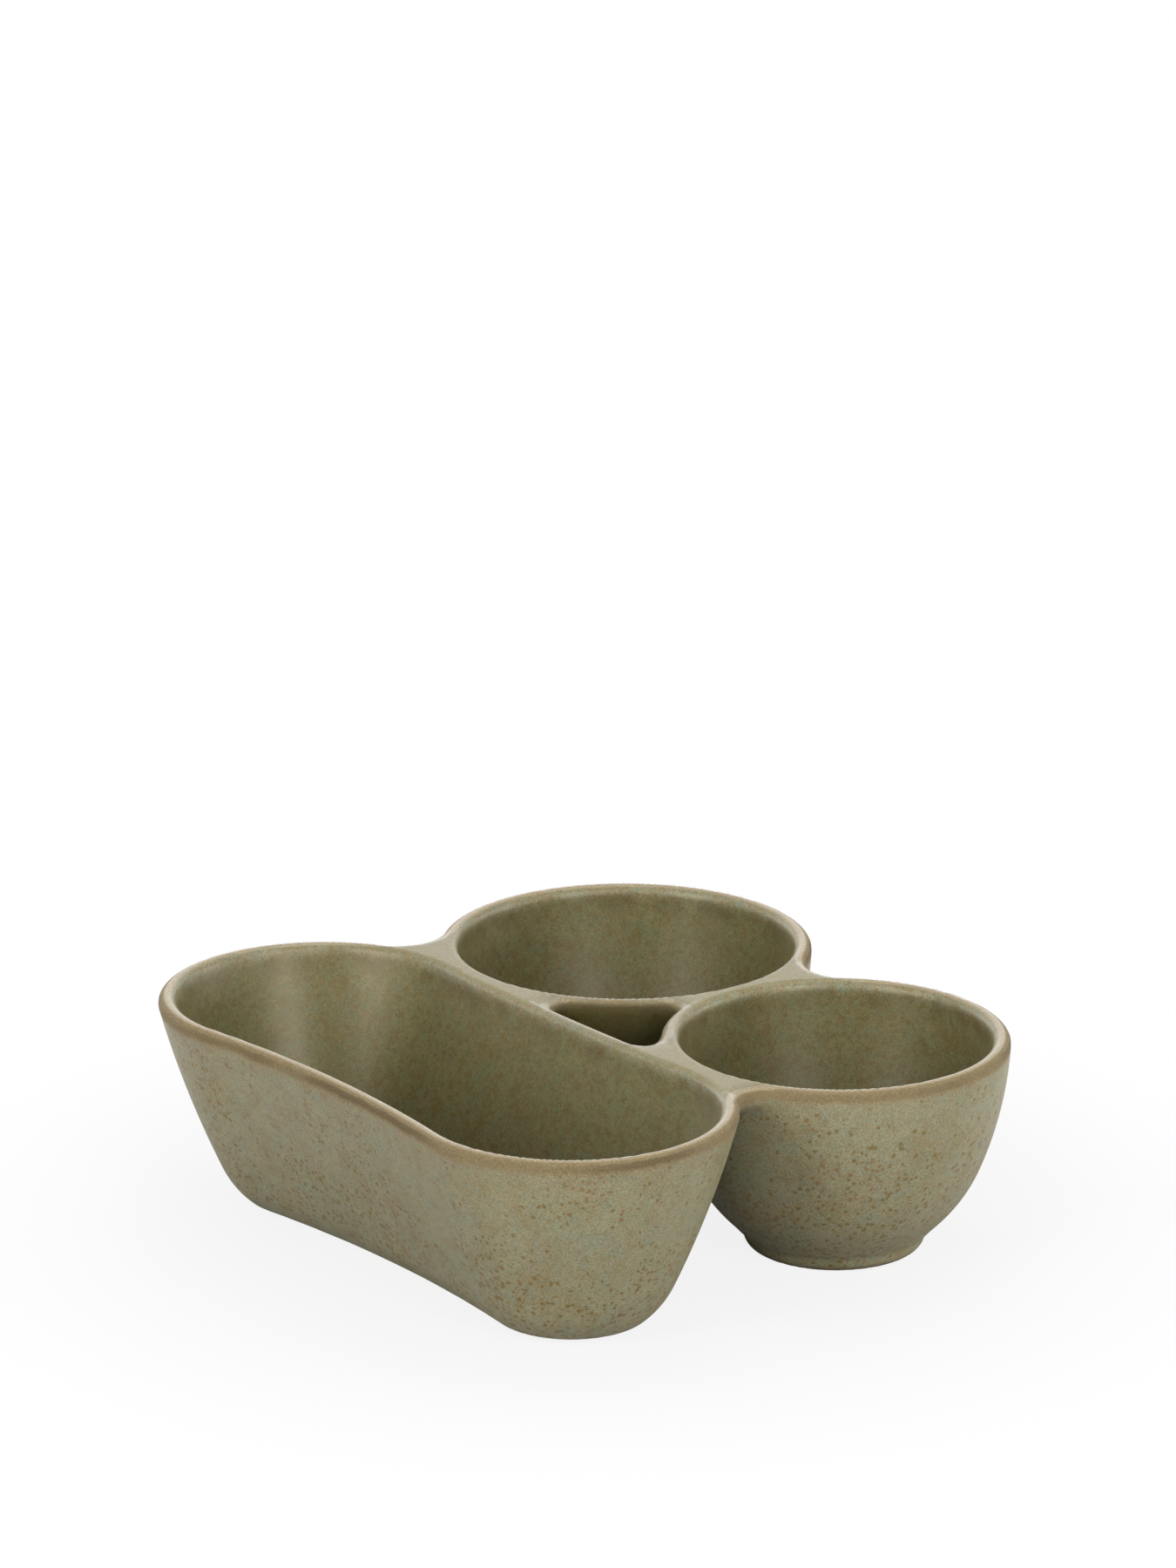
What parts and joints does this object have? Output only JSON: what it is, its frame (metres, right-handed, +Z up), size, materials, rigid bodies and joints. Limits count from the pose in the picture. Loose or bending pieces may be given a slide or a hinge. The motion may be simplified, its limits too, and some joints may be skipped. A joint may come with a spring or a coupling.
{
  "type": "olive dish",
  "caption": "Serving dish of glazed stoneware: a long waisted dish and round bowls joined at the rims around an open gap.",
  "frame": {"origin": "on the table, under the middle of the dish's box", "axes": "+X along the long dish, towards the small bowl's end; +Y from the long dish to the bowls; +Z up"},
  "size_m": [0.1793, 0.1667, 0.053],
  "materials": {
    "green_glaze": "satin, speckled",
    "foot_clay": "matt"
  },
  "bodies": {
    "root": {"long_dish": "green_glaze", "large_bowl": "green_glaze", "small_bowl": "green_glaze", "long_dish_foot": "foot_clay", "large_bowl_foot": "foot_clay", "small_bowl_foot": "foot_clay", "left_notch_web": "green_glaze", "right_notch_web": "green_glaze", "rear_notch_web": "green_glaze", "left_gap_web": "green_glaze", "right_gap_web": "green_glaze", "rear_gap_web": "green_glaze"}
  },
  "joints": []
}
